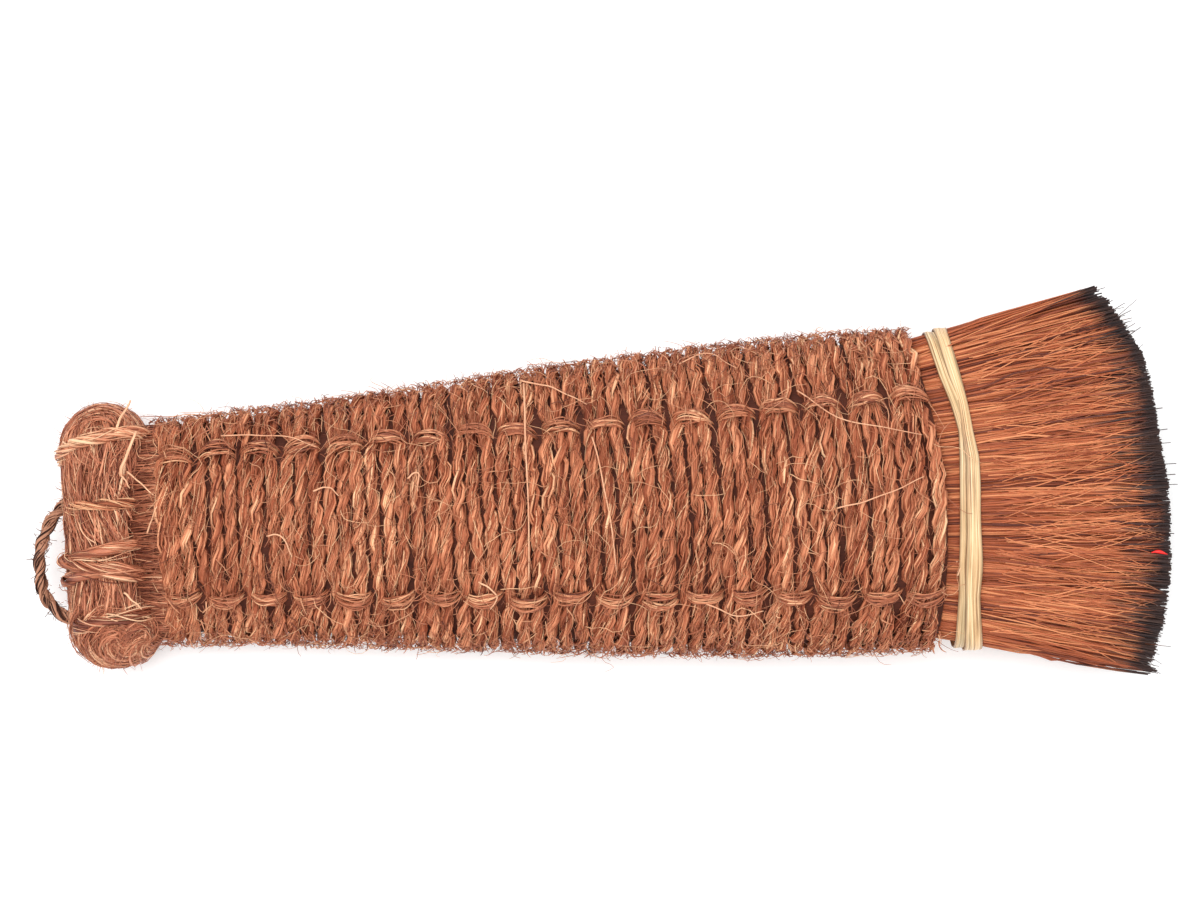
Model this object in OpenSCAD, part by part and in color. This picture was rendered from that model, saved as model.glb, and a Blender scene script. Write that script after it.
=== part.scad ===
// Flat palm-fibre brush for calligraphy mounting and rubbing work.
// A tapering bundle of palm fibre is bound with cord, sewn through in two rows, closed by a lashed
// fibre roll with a hanging loop at its narrow end, and opens into a fan of bristles at its wide end.
// +X runs towards the bristles, +Z is up, and the brush lies on its broad face at z = 0.
// Along the brush, "t" is the distance from the first turn of the binding cord.

/* [Handle] */
// Width over the binding cord at the narrow end
width_narrow = 45.2; // [38:0.2:54]
// Width over the binding cord at the wide end
width_wide = 64.2; // [54:0.2:77]
// Thickness over the binding cord at the narrow end
thick_narrow = 24; // [21:0.5:28.5]
// Thickness over the binding cord at the wide end
thick_wide = 36; // [30:0.5:43]
// Corner radius of the oval section, on the cord's centreline, at the narrow end
corner_narrow = 6; // [5:0.25:7.5]
// Corner radius of the oval section, on the cord's centreline, at the wide end
corner_wide = 9; // [7.5:0.25:11]

/* [Binding cord] */
// Diameter of the binding cord
cord_d = 2.7; // [2.2:0.05:3.3]
// Turns of cord under one stitch
turns_per_stitch = 3; // [2:1:4]
// Gap between two turns under one stitch
turn_gap = 0.05; // [0.04:0.01:0.1]
// Stitches in one row
stitch_count = 18; // [14:1:21]

/* [Stitching] */
// Diameter of the sewing thread where it lies on the cord
thread_d = 1.2; // [0.9:0.05:1.5]
// Thickness of the thread where it is squeezed between two turns
thread_flat = 0.25; // [0.2:0.01:0.35]
// Width of the thread where it is squeezed between two turns
thread_wide = 1.8; // [1.4:0.1:2.2]
// How far a stitch arches over its turns
stitch_rise = 0.7; // [0.5:0.05:0.9]
// Distance of the left row from the middle, at the narrow end
left_row_narrow = 15.2; // [12.5:0.1:16]
// Distance of the left row from the middle, at the wide end
left_row_wide = 18.6; // [15.5:0.1:22.5]
// Distance of the right row from the middle, at the narrow end
right_row_narrow = 13.6; // [11.5:0.1:16]
// Distance of the right row from the middle, at the wide end
right_row_wide = 21.4; // [17.5:0.1:23]

/* [End roll] */
// Diameter of the fibre roll across the narrow end
roll_d = 17; // [14:0.5:18.5]
// Length of the fibre roll over its round ends
roll_length = 52; // [43:1:63]
// Distance from the first turn of cord back to the roll
roll_setback = 1.9; // [1.7:0.1:2.4]
// How far the fibres of the handle reach round the roll
neck_length = 4; // [3:0.25:5]
// Diameter of the lashings round the roll
lashing_d = 2; // [1.6:0.1:2.4]
// Distance of the upper lashing from the middle
upper_lashing_y = 20.2; // [19:0.2:22]
// Distance of the thin lashing from the middle
thin_lashing_y = 6.4; // [5.4:0.2:7.6]
// Distance of the double lashing from the middle
double_lashing_y = 6.9; // [5.5:0.1:8.3]
// Distance of the lower lashing from the middle
lower_lashing_y = 19.6; // [19.4:0.2:22]

/* [Hanging loop] */
// Diameter of the loop's twine
twine_d = 2.4; // [2:0.1:2.6]
// How far each way the loop can be bent, in degrees
loop_swing = 45; // [20:5:45]

/* [Bristles] */
// Length of the bristles beyond the binding, in the middle of the fan
bristle_length = 46; // [38:1:56]
// Width of the fan at its corners
fan_width = 76; // [66:1:91]
// Thickness of the fan at its tips
fan_thick = 33; // [29:0.5:33.5]
// Radius of the curve that the tips are cut to
tip_radius = 80; // [66:1:120]
// How far the seat of the moving bristles is rounder than the fan is thick
seat_rim = 0.6; // [0.4:0.1:2]

/* [Straw band] */
// Width of the inner straw strip
inner_strip_w = 4.2; // [3.5:0.1:5]
// Width of the outer straw strip
outer_strip_w = 3.4; // [2.8:0.1:4]
// Thickness of one straw strip
strip_thick = 0.35; // [0.25:0.05:0.5]
// Gap between the binding and the band
band_gap = 2; // [1.5:0.1:2.4]
// How far the outer strip lies beyond the inner one
strip_offset = 0.9; // [0.4:0.1:1.2]

/* [Fits] */
// Gap between pieces that lie on each other
clearance = 0.05; // [0.04:0.01:0.1]
// Gap between pieces that move past each other
moving_gap = 0.3; // [0.2:0.05:0.4]
// Depth of the flats that the turns are pressed to where the brush lies on its face
rest_flat = 0.25; // [0.15:0.05:0.4]

/* [Hidden] */
$fn = 64;

cord_r = cord_d / 2;
thread_r = thread_d / 2;
knuckle_r = 1.3 * thread_r;
roll_r = roll_d / 2;
lashing_r = lashing_d / 2;
twine_r = twine_d / 2;

// Binding: groups of turns with the flattened thread between two groups
stitch_gap = thread_flat + 2 * clearance;
turn_pitch = cord_d + turn_gap;
group_pitch = turns_per_stitch * turn_pitch - turn_gap + stitch_gap;
wrap_length = stitch_count * group_pitch - stitch_gap;
TAPER_POWER = 1.45;
CROWN_SHARE = 0.55;
SHOULDER_SHARE = 0.4;

// Bristles and the line that they bend about
tip_t = wrap_length + bristle_length;
band_width = max(inner_strip_w, strip_offset + outer_strip_w);
seat_radius = fan_thick / 2 + seat_rim;
bend_t = wrap_length + band_gap + band_width + 2 * moving_gap + seat_radius;
fan_corner_t = tip_t - tip_radius + sqrt(tip_radius * tip_radius - fan_width * fan_width / 4);

// End roll
roll_t = -roll_setback - roll_r;
roll_back_t = roll_t - roll_r;
roll_straight = roll_length / 2 - roll_r;

// The hanging loop's route, from its left end to its right end, as distances behind the roll's
// back and across the brush. Both ends lie a little inside the roll.
LOOP_ROUTE = [[-1.2, 7.2], [0.2, 6.7], [1.8, 5.4], [3.4, 3.5], [4.7, 1.1], [5.6, -1.7],
    [6.1, -4.6], [6.1, -7.6], [5.6, -10.5], [4.3, -13.2], [2.4, -15.2], [0.2, -16.4],
    [-1.2, -16.6]];
LOOP_SIDES = 8;
LOOP_NOTCH_R = 3.3;
LOOP_NOTCH_LEFT = [4.2, 9];
LOOP_NOTCH_RIGHT = [-18.2, -13.8];
loop_depth = max([for (p = LOOP_ROUTE) p[0]]) + twine_r;

// The origin lies under the middle of the whole brush
back_t = roll_back_t - loop_depth;
origin_t = (back_t + tip_t) / 2;

// Points of each arc of a lofted section, and sections of each loft
SIDE_STEPS = 8;
FACE_STEPS = 12;
CORE_SECTIONS = 30;
MARGIN = 5;
FAR = 300;

// Share of the whole taper reached at a distance t, which levels out towards the wide end
function taper(t) = pow(sin(90 * min(max(t / wrap_length, 0), 1)), TAPER_POWER);
function between(low, high, share) = low + (high - low) * share;

// Half width, half thickness and corner radius of the cord's centreline at a distance t
function line_a(t) = between(width_narrow, width_wide, taper(t)) / 2 - cord_r;
function line_b(t) = between(thick_narrow, thick_wide, taper(t)) / 2 - cord_r;
function line_r(t) = between(corner_narrow, corner_wide, taper(t));
function mid_z(t) = line_b(t) + cord_r - rest_flat;

// Oval of four arcs: radius of its faces, and half the angle that a face spans
function face_radius(a, b, r) = (pow(a - r, 2) + b * b - r * r) / (2 * (b - r));
function face_angle(a, b, r) = atan((a - r) / (face_radius(a, b, r) - b));

// Outline of the oval as points [across, up], grown by "grow"
function arc_points(centre, radius, from, to, steps) =
    [for (i = [0 : steps - 1]) let (angle = between(from, to, i / steps))
        centre + radius * [cos(angle), sin(angle)]];
function oval_points(a, b, r, grow) =
    let (face = face_radius(a, b, r), half = face_angle(a, b, r), side = a - r, drop = face - b)
    concat(arc_points([side, 0], r + grow, half - 90, 90 - half, SIDE_STEPS),
        arc_points([0, -drop], face + grow, 90 - half, 90 + half, FACE_STEPS),
        arc_points([-side, 0], r + grow, 90 + half, 270 - half, SIDE_STEPS),
        arc_points([0, drop], face + grow, 270 - half, 270 + half, FACE_STEPS));

// Size of the bristles beyond the binding
core_grow = -cord_r - clearance;
function fan_share(t) = (t - wrap_length) / (fan_corner_t - wrap_length);
function fan_a(t) = between(line_a(t) + core_grow, fan_width / 2, fan_share(t));
function fan_b(t) = between(line_b(t) + core_grow, fan_thick / 2, fan_share(t));

// Section points placed at a distance t along the brush, round a middle at height z
function placed(t, z, section) = [for (p = section) [t - origin_t, p[0], z + p[1]]];
function fan_ring(t) = placed(t, mid_z(t), oval_points(fan_a(t), fan_b(t), line_r(t) + core_grow, 0));

// Section of the bundle inside the binding. It has the size from half a turn further back, so
// that the taper stays inside each turn.
function core_ring(t) = let (s = t - cord_r)
    placed(t, mid_z(s), oval_points(line_a(s), line_b(s), line_r(s), core_grow));

// Height of the binding's upper side above the middle, and its outward normal, at y
function face_height(t, y) =
    let (face = face_radius(line_a(t), line_b(t), line_r(t)))
    sqrt(pow(face + cord_r, 2) - y * y) - face + line_b(t);
function face_normal(t, y) =
    let (face = face_radius(line_a(t), line_b(t), line_r(t)) + cord_r)
    [y / face, sqrt(1 - pow(y / face, 2))];

function stitch_t(i) = i * group_pitch - stitch_gap / 2;
function turn_t(group, turn) = group * group_pitch + turn * turn_pitch + cord_r;
function row_y(narrow, wide, t) = between(narrow, wide, t / wrap_length);

// Radius of a ring of cord that lies on the roll at a distance y from its middle
function lashing_radius(y) =
    let (reach = roll_r + lashing_r + clearance, past = max(abs(y) - roll_straight, 0))
    sqrt(reach * reach - past * past);

// Closed solid through a list of sections with equally many points
module loft(sections) {
    count = len(sections[0]);
    last = len(sections) - 1;
    sides = [for (s = [0 : last - 1]) for (i = [0 : count - 1]) let (j = (i + 1) % count)
        [s * count + i, s * count + j, (s + 1) * count + j, (s + 1) * count + i]];
    back = [for (i = [0 : count - 1]) count - 1 - i];
    front = [for (i = [0 : count - 1]) last * count + i];
    polyhedron(points = [for (section = sections) each section],
        faces = [for (f = concat(sides, [back, front])) [for (i = [len(f) - 1 : -1 : 0]) f[i]]]);
}

module at(t, y, z) {
    translate([t - origin_t, y, z])
        children();
}

// Turns a shape drawn in XY so that its X runs across the brush and its Y runs up
module across() {
    rotate([90, 0, 90])
        children();
}

// Part of a ring of cord: radius of the ring, radius of the cord, first angle and sweep
module ring_part(radius, section_r, from, sweep) {
    rotate([0, 0, from])
        rotate_extrude(angle = sweep)
            translate([radius, 0])
                circle(r = section_r);
}

// Ring of cord round the roll, open over an angle at the roll's back
module roll_ring(y, section_r, opening) {
    sweep = 360 - opening;
    at(roll_t, y, mid_z(0))
        rotate([-90, 0, 0])
            ring_part(lashing_radius(y), section_r, -sweep / 2, sweep);
}

// Room for a lashing at y, round the roll, with half the lashing's width
module roll_groove(y, half_wide) {
    reach = lashing_radius(y) + lashing_r + clearance;
    at(roll_t, y, mid_z(0))
        rotate([-90, 0, 0])
            cylinder(r = reach, h = 2 * (half_wide + clearance), center = true);
}

// Outline of the oval, grown by "grow", as exact arcs
module oval(a, b, r, grow) {
    face = face_radius(a, b, r);
    half = face_angle(a, b, r);
    for (side = [-1, 1])
        translate([side * (a - r), 0])
            circle(r = r + grow);
    intersection() {
        translate([0, b - face])
            circle(r = face + grow);
        translate([0, face - b])
            circle(r = face + grow);
        square([2 * (face + grow) * sin(half), 2 * b + MARGIN], center = true);
    }
}

// Flat layer of one turn of cord: its width along the brush, and how far its rim is inset
module turn_layer(t, wide, inset) {
    linear_extrude(wide, center = true)
        difference() {
            oval(line_a(t), line_b(t), line_r(t), cord_r - inset);
            oval(line_a(t), line_b(t), line_r(t), -cord_r);
            translate([0, -mid_z(t) - MARGIN / 2])
                square([2 * line_a(t), MARGIN], center = true);
        }
}

// One turn of the binding cord at a distance t, with its rounded back as steps, pressed flat
// where it would pass below z = 0
module cord_turn(t) {
    at(t, 0, mid_z(t))
        across() {
            turn_layer(t, cord_d * CROWN_SHARE, 0);
            turn_layer(t, cord_d, cord_r * SHOULDER_SHARE);
        }
}

// Closed strip round the bristles: distance, width, and the gap under it
module straw_strip(t, wide, lift) {
    a = max(fan_a(t), fan_a(t + wide));
    b = max(fan_b(t), fan_b(t + wide));
    r = line_r(t) + core_grow;
    at(t, 0, mid_z(t))
        across()
            linear_extrude(wide)
                difference() {
                    oval(a, b, r, lift + strip_thick);
                    oval(a, b, r, lift);
                }
}

// Stitch span between the knuckles at two points, arched away from the brush (up = 1 or -1)
module stitch_span(from, to, up) {
    run = to - from;
    long = norm(run);
    radius = (long * long / 4 + stitch_rise * stitch_rise) / (2 * stitch_rise);
    half = asin((long / 2 - knuckle_r / 2) / radius);
    translate((from + to) / 2)
        rotate([0, -asin(run[2] / long), atan2(run[1], run[0])])
            rotate([up > 0 ? 90 : -90, 0, 0])
                translate([0, stitch_rise - radius])
                    ring_part(radius, thread_r, 90 - half, 2 * half);
}

// Point of a thread where it dives between two groups of turns, on the upper or lower side
function dive_point(i, side, narrow, wide, up) =
    let (t = stitch_t(i), y = row_y(narrow, wide, t), lift = knuckle_r + clearance,
        normal = face_normal(t, y))
    [t - origin_t, side * (y + normal[0] * lift),
        mid_z(t) + up * (face_height(t, y) + normal[1] * lift)];

// Flattened thread that passes through the bundle at the i-th gap, grown by "grow"
module thread_pass(i, side, narrow, wide, grow) {
    t = stitch_t(i);
    y = row_y(narrow, wide, t) + face_normal(t, row_y(narrow, wide, t))[0] * knuckle_r / 2;
    tall = face_height(t, y) + knuckle_r;
    at(t, side * y, mid_z(t))
        cube([thread_flat + 2 * grow, thread_wide + 2 * grow, 2 * tall], center = true);
}

module stitch_row(side, narrow, wide) {
    for (i = [0 : stitch_count])
        thread_pass(i, side, narrow, wide, 0);
    for (up = [-1, 1]) {
        for (i = [0 : stitch_count])
            translate(dive_point(i, side, narrow, wide, up))
                sphere(r = knuckle_r);
        for (i = [0 : stitch_count - 1])
            stitch_span(dive_point(i, side, narrow, wide, up),
                dive_point(i + 1, side, narrow, wide, up), up);
    }
}

module bend_cylinder(radius) {
    at(bend_t, 0, mid_z(wrap_length))
        rotate([90, 0, 0])
            cylinder(r = radius, h = FAR, center = true);
}

module fibre_core() {
    body = [for (i = [0 : CORE_SECTIONS]) core_ring(wrap_length * i / CORE_SECTIONS)];
    color("#7a3b22")
        difference() {
            loft(concat([core_ring(-neck_length)], body, [fan_ring(bend_t)]));
            bend_cylinder(seat_radius + moving_gap);
            at(roll_t, 0, mid_z(0))
                rotate([90, 0, 0])
                    cylinder(r = roll_r + clearance, h = FAR, center = true);
            for (y = [upper_lashing_y, thin_lashing_y, -lower_lashing_y])
                roll_groove(y, lashing_r);
            roll_groove(-double_lashing_y, lashing_d);
            for (i = [0 : stitch_count]) {
                thread_pass(i, 1, left_row_narrow, left_row_wide, clearance);
                thread_pass(i, -1, right_row_narrow, right_row_wide, clearance);
            }
        }
}

module wrap_cord() {
    color("#8a4529")
        for (group = [0 : stitch_count - 1])
            for (turn = [0 : turns_per_stitch - 1])
                cord_turn(turn_t(group, turn));
}

module stitch_thread_left() {
    color("#9a5233")
        stitch_row(1, left_row_narrow, left_row_wide);
}

module stitch_thread_right() {
    color("#9a5233")
        stitch_row(-1, right_row_narrow, right_row_wide);
}

module loop_notch(span) {
    at(roll_back_t - LOOP_ROUTE[0][0], span[0], mid_z(0))
        rotate([-90, 0, 0])
            cylinder(r = LOOP_NOTCH_R, h = span[1] - span[0]);
}

module end_roll() {
    color("#85472b")
        difference() {
            at(roll_t, 0, mid_z(0))
                rotate([90, 0, 0])
                    rotate_extrude() {
                        translate([0, -roll_straight])
                            square([roll_r, 2 * roll_straight]);
                        for (end = [-1, 1])
                            intersection() {
                                translate([0, end * roll_straight])
                                    circle(r = roll_r);
                                translate([0, -roll_length])
                                    square([roll_r + 1, 2 * roll_length]);
                            }
                    }
            loop_notch(LOOP_NOTCH_LEFT);
            loop_notch(LOOP_NOTCH_RIGHT);
        }
}

module roll_lashing_upper() {
    color("#8f4e30")
        roll_ring(upper_lashing_y, lashing_r, 0);
}

// The thin and the lower lashing stay open where the loop leaves the roll
module roll_lashing_thin() {
    color("#6e3a22")
        roll_ring(thin_lashing_y, lashing_r, 2 * (loop_swing + 25));
}

module roll_lashing_double() {
    color("#8f4e30")
        for (side = [-1, 1])
            roll_ring(-double_lashing_y + side * (lashing_r + clearance / 2), lashing_r, 0);
}

module roll_lashing_lower() {
    color("#8f4e30")
        roll_ring(-lower_lashing_y, lashing_r, 2 * (loop_swing + 25));
}

// The loop's tube, with round ends
module hanging_loop() {
    last = len(LOOP_ROUTE) - 1;
    points = [for (p = LOOP_ROUTE) [roll_back_t - p[0] - origin_t, p[1], mid_z(0)]];
    ways = [for (i = [0 : last]) let (d = points[min(i + 1, last)] - points[max(i - 1, 0)])
        d / norm(d)];
    // Each ring is [point, direction, share of the full radius]
    rings = concat([for (angle = [75, 40]) [points[0] - twine_r * sin(angle) * ways[0], ways[0], cos(angle)]],
        [for (i = [0 : last]) [points[i], ways[i], 1]],
        [for (angle = [40, 75]) [points[last] + twine_r * sin(angle) * ways[last], ways[last], cos(angle)]]);
    color("#3c2015")
        loft([for (ring = rings) let (side = cross([0, 0, 1], ring[1]))
            [for (k = [0 : LOOP_SIDES - 1]) let (angle = 360 * k / LOOP_SIDES)
                ring[0] + twine_r * ring[2] * (cos(angle) * side + [0, 0, sin(angle)])]]);
}

module straw_band_inner() {
    color("#d9c48a")
        straw_strip(wrap_length + band_gap, inner_strip_w, clearance);
}

module straw_band_outer() {
    color("#e3d09a")
        straw_strip(wrap_length + band_gap + strip_offset, outer_strip_w,
            strip_thick + 2 * clearance);
}

module bristle_fan() {
    start_t = bend_t - seat_radius;
    color("#a8502a")
        difference() {
            intersection() {
                loft([for (t = [start_t, bend_t, tip_t + 1]) fan_ring(t)]);
                at(tip_t - tip_radius, 0, -MARGIN)
                    cylinder(r = tip_radius, h = FAR);
            }
            difference() {
                at(bend_t - FAR / 2, 0, 0)
                    cube(FAR, center = true);
                bend_cylinder(seat_radius);
            }
        }
}

fibre_core();
wrap_cord();
stitch_thread_left();
stitch_thread_right();
end_roll();
roll_lashing_upper();
roll_lashing_thin();
roll_lashing_double();
roll_lashing_lower();
hanging_loop();
straw_band_inner();
straw_band_outer();
bristle_fan();
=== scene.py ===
"""Looks of a flat palm-fibre brush: bound, sewn and lashed cord, a twine loop, a straw tie and
thousands of bristles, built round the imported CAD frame.

Shapes are worked out in millimetres along the brush ("t" is the distance from the first turn of
cord, "y" runs across, "z" up) and turned into metres where a mesh is made.
"""

import bpy
import numpy as np
from mathutils import Matrix, Vector


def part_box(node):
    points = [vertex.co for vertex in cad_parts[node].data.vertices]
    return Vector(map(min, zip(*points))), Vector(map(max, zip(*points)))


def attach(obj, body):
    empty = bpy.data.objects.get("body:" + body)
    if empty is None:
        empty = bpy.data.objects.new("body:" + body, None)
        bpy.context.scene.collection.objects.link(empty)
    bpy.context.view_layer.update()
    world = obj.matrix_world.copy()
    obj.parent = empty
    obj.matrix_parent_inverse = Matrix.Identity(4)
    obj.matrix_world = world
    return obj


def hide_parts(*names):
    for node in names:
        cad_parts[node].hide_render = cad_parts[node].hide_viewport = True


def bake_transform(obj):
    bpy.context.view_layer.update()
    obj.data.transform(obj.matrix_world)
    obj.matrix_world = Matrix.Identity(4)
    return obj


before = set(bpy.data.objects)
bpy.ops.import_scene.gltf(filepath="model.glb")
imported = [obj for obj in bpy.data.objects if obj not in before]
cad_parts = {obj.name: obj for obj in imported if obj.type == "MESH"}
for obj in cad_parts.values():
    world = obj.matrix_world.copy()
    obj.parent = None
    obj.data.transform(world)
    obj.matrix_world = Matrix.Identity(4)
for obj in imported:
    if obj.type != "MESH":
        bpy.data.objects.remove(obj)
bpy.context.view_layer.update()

# --- Sizes, in millimetres, from the frame -----------------------------------------------------
MM = 1000.0


def box_mm(node):
    low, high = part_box(node)
    return np.array(low) * MM, np.array(high) * MM


wrap_low, wrap_high = box_mm("wrap_cord")
roll_low, roll_high = box_mm("end_roll")
fan_low, fan_high = box_mm("bristle_fan")
loop_low, loop_high = box_mm("hanging_loop")
START_X = wrap_low[0]
WRAP_LENGTH = wrap_high[0] - wrap_low[0]
TIP_T = fan_high[0] - START_X
WIDTH_NARROW, WIDTH_WIDE = 45.2, 2 * wrap_high[1]
REST_FLAT = 0.25
THICK_NARROW, THICK_WIDE = 24.0, wrap_high[2] + REST_FLAT
CORNER_NARROW, CORNER_WIDE = 6.0, 9.0
TAPER_POWER = 1.45
TURNS, PER_STITCH = 54, 3
GROUPS = TURNS // PER_STITCH
GROUP = WRAP_LENGTH / GROUPS
TURN = GROUP / PER_STITCH
# Radius of the cord as it is drawn, and of the hard middle that the stitches lie on
CORD_R, SEAT_R = 1.42, 1.35
FAN_WIDTH, FAN_THICK = 2 * fan_high[1], 33.0
TIP_RADIUS = 80.0
FAN_CORNER = 7.6
ROLL_R = (roll_high[2] - roll_low[2]) / 2
ROLL_T = (roll_low[0] + roll_high[0]) / 2 - START_X
ROLL_HALF = (roll_high[1] - roll_low[1]) / 2
ROLL_Z = (roll_low[2] + roll_high[2]) / 2
# Least height of loose fibres above the floor
FLOOR_GAP = 0.05
# Distance of each stitch row from the middle, at the narrow and the wide end
ROWS = {1: (15.2, 18.6), -1: (13.6, 21.4)}


def to_frame(points):
    """Millimetres along the brush to metres in the shared frame."""
    return (np.asarray(points, float) + np.array([START_X, 0, 0])) / MM


# --- Camera ------------------------------------------------------------------------------------
VIEW_CENTRE = np.array([89.1, 9.3, 17.0])
VIEW_DISTANCE, VIEW_WIDTH, VIEW_ROLL = 600.0, 240.0, np.radians(-3.3)
SENSOR = 36.0

camera = bpy.data.objects.new("camera", bpy.data.cameras.new("camera"))
bpy.context.collection.objects.link(camera)
camera.data.sensor_width = SENSOR
camera.data.lens = SENSOR * VIEW_DISTANCE / VIEW_WIDTH
camera.data.clip_start = 0.01
eye = Vector(to_frame(VIEW_CENTRE + np.array([0, 0, VIEW_DISTANCE])))
camera.matrix_world = Matrix.Translation(eye) @ Matrix.Rotation(VIEW_ROLL, 4, "Z")
bpy.context.scene.camera = camera


# --- Shape of the binding ----------------------------------------------------------------------
def taper(t):
    return np.sin(np.pi / 2 * np.clip(t / WRAP_LENGTH, 0, 1)) ** TAPER_POWER


def between(low, high, share):
    return low + (high - low) * share


def outer_a(t):
    return between(WIDTH_NARROW, WIDTH_WIDE, taper(t)) / 2


def outer_b(t):
    return between(THICK_NARROW, THICK_WIDE, taper(t)) / 2


def mid_z(t):
    return outer_b(t) - REST_FLAT


def oval_arcs(a, b, r):
    """Face radius and half angle of a four-arc oval."""
    face = ((a - r) ** 2 + b * b - r * r) / (2 * (b - r))
    return face, np.arctan2(a - r, face - b)


def oval_at(turn, a, b, r):
    """Point (y, z) and outward normal of the oval, for a share 0..1 of a turn from its -Y side
    over the top. The share follows the arc length."""
    face, half = oval_arcs(a, b, r)
    side_long = r * (np.pi - 2 * half)
    face_long = face * 2 * half
    whole = 2 * (side_long + face_long)
    s = (turn % 1.0) * whole + side_long / 2
    s = np.where(s >= whole, s - whole, s)
    first = s < side_long
    top = (s >= side_long) & (s < side_long + face_long)
    third = (s >= side_long + face_long) & (s < 2 * side_long + face_long)
    angle = np.where(
        first, np.pi + (np.pi / 2 - half) - s / r,
        np.where(top, np.pi / 2 + half - (s - side_long) / face,
                 np.where(third, (np.pi / 2 - half) - (s - side_long - face_long) / r,
                          -np.pi / 2 + half - (s - 2 * side_long - face_long) / face)))
    radius = np.where(first | third, r, face)
    cy = np.where(first, -(a - r), np.where(third, a - r, 0.0))
    cz = np.where(first | third, 0.0, np.where(top, b - face, face - b))
    normal = np.stack([np.cos(angle), np.sin(angle)], -1)
    point = np.stack([cy, cz], -1) + radius[..., None] * normal
    return point, normal


def corner(t):
    return between(CORNER_NARROW, CORNER_WIDE, taper(t))


def bow(t, y):
    """How far the turns lean towards the bristles at y: bowed in the middle, and skewed."""
    share = np.clip(t / WRAP_LENGTH, 0, 1)
    across = np.clip(y / outer_a(t), -1.1, 1.1)
    middle = between(0.4, 3.7, share**2) * (1 - across**2)
    return middle - between(0.2, 1.4, share**3) * across - 0.8 * share**3


def face_height(t, y):
    """Height of the binding's outer face above its middle plane at y."""
    face, _ = oval_arcs(outer_a(t) - SEAT_R, outer_b(t) - SEAT_R, corner(t))
    return np.sqrt(np.maximum((face + SEAT_R) ** 2 - y * y, 1)) - face + outer_b(t) - SEAT_R


def row_y(side, t):
    low, high = ROWS[side]
    return side * between(low, high, np.clip(t / WRAP_LENGTH, 0, 1))


# --- Random numbers and meshes -----------------------------------------------------------------
def smooth_noise(rng, shape, reach):
    """Noise of about unit size, smooth along axis 0 over "reach" samples."""
    raw = rng.standard_normal(shape)
    k = np.fft.rfftfreq(shape[0])
    keep = np.exp(-((k * reach * 2.2) ** 2))
    keep = keep.reshape([-1] + [1] * (len(shape) - 1))
    out = np.fft.irfft(np.fft.rfft(raw, axis=0) * keep, n=shape[0], axis=0)
    return out / max(out.std(), 1e-9)


def unit(v):
    return v / np.maximum(np.linalg.norm(v, axis=-1, keepdims=True), 1e-12)


def run_along(points):
    """Distance along a path at each of its points."""
    return np.concatenate([[0], np.linalg.norm(np.diff(points, axis=0), axis=1).cumsum()])


def around(turn, normal, side):
    """Way out at an angle from the normal towards the side."""
    return np.cos(turn)[..., None] * normal + np.sin(turn)[..., None] * side


def random_shades(rng, middle, spread, count):
    return np.clip(rng.normal(middle, spread, count), 0, 1)


def above(verts, low):
    """The same points with none lower than "low"."""
    verts[..., 2] = np.maximum(verts[..., 2], low)
    return verts


def grid_quads(index):
    """Quads between the rows of a grid of vertices, each row closed on itself."""
    after = np.roll(index, -1, axis=-1)
    return np.stack([index[..., :-1, :], after[..., :-1, :], after[..., 1:, :], index[..., 1:, :]],
                    -1).reshape(-1, 4)


def new_mesh(name, verts_mm, faces, attributes, material, body, nodes=()):
    """Object in metres from points in millimetres, quads or triangles, and point attributes."""
    mesh = bpy.data.meshes.new(name)
    verts = to_frame(verts_mm)
    counts = [f.shape[1] for f in faces for _ in range(len(f))]
    loops = np.concatenate([f.ravel() for f in faces])
    mesh.vertices.add(len(verts))
    mesh.vertices.foreach_set("co", verts.astype(np.float32).ravel())
    mesh.loops.add(len(loops))
    mesh.loops.foreach_set("vertex_index", loops.astype(np.int32))
    mesh.polygons.add(len(counts))
    starts = np.concatenate([[0], np.cumsum(counts)[:-1]])
    mesh.polygons.foreach_set("loop_start", starts.astype(np.int32))
    mesh.polygons.foreach_set("loop_total", np.array(counts, np.int32))
    mesh.polygons.foreach_set("use_smooth", np.ones(len(counts), bool))
    for key, values in attributes.items():
        kind = "FLOAT_VECTOR" if values.ndim == 2 else "FLOAT"
        layer = mesh.attributes.new(key, kind, "POINT")
        field = "vector" if values.ndim == 2 else "value"
        layer.data.foreach_set(field, values.astype(np.float32).ravel())
    mesh.update(calc_edges=True)
    mesh.materials.append(material)
    obj = bpy.data.objects.new(name, mesh)
    bpy.context.collection.objects.link(obj)
    if body:
        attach(obj, body)
    if nodes:
        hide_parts(*nodes)
    return obj


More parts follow.
